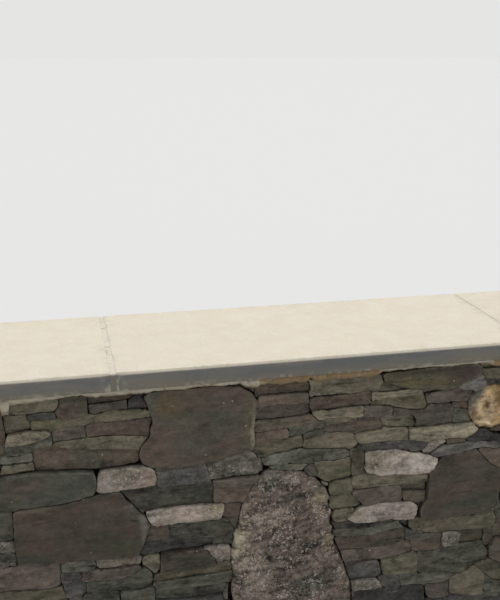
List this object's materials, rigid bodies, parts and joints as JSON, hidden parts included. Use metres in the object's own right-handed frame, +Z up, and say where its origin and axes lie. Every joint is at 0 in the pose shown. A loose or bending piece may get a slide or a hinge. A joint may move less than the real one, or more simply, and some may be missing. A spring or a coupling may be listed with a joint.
{
  "type": "dry stone retaining wall",
  "caption": "Straight dry-laid retaining wall of mixed fieldstone under a flat bluestone coping, with large face stones and a stepped corner at each end.",
  "frame": {"origin": "on the ground, midway between the ends and midway between the edges of the coping", "axes": "+X along the wall, towards the right as seen from its front; +Y from the front face towards the planting bed behind; +Z up"},
  "size_m": [5.5, 0.46, 0.85],
  "materials": {
    "coping_bluestone": "flamed top, sawn edge",
    "joint_mortar": "struck flush",
    "bedding_mortar": "rough, stained with rust",
    "fieldstone": "cleft, dry laid",
    "umber_stone": "cleft face",
    "green_stone": "cleft slate",
    "olive_stone": "cleft face",
    "granite": "rough, speckled, lichened",
    "pale_stone": "split face",
    "sandstone": "water-worn"
  },
  "bodies": {
    "root": {"coping_slab_1": "coping_bluestone", "coping_slab_2": "coping_bluestone", "coping_slab_3": "coping_bluestone", "coping_slab_4": "coping_bluestone", "coping_slab_5": "coping_bluestone", "coping_joint_1": "joint_mortar", "coping_joint_2": "joint_mortar", "coping_joint_3": "joint_mortar", "coping_joint_4": "joint_mortar", "bedding_mortar": "bedding_mortar", "front_masonry_1": "fieldstone", "front_masonry_2": "fieldstone", "front_masonry_3": "fieldstone", "front_masonry_4": "fieldstone", "front_masonry_5": "fieldstone", "back_masonry_1": "fieldstone", "back_masonry_2": "fieldstone", "back_masonry_3": "fieldstone", "back_masonry_4": "fieldstone", "back_masonry_5": "fieldstone", "left_end_quoins": "olive_stone", "right_end_quoins": "olive_stone", "granite_boulder": "granite", "square_slab": "umber_stone", "broad_slab": "umber_stone", "diamond_slab": "umber_stone", "long_green_stone": "green_stone", "lens_stone": "olive_stone", "sandstone_cobble": "sandstone", "pale_stone_upper_left": "pale_stone", "pale_stone_lower_left": "pale_stone", "pale_stone_upper_right": "pale_stone", "pale_stone_lower_right": "pale_stone", "front_large_stones_1": "umber_stone", "front_large_stones_2": "umber_stone", "front_large_stones_4": "umber_stone", "front_large_stones_5": "umber_stone", "back_large_stones_1": "umber_stone", "back_large_stones_2": "umber_stone", "back_large_stones_3": "umber_stone", "back_large_stones_4": "umber_stone", "back_large_stones_5": "umber_stone"}
  },
  "joints": []
}
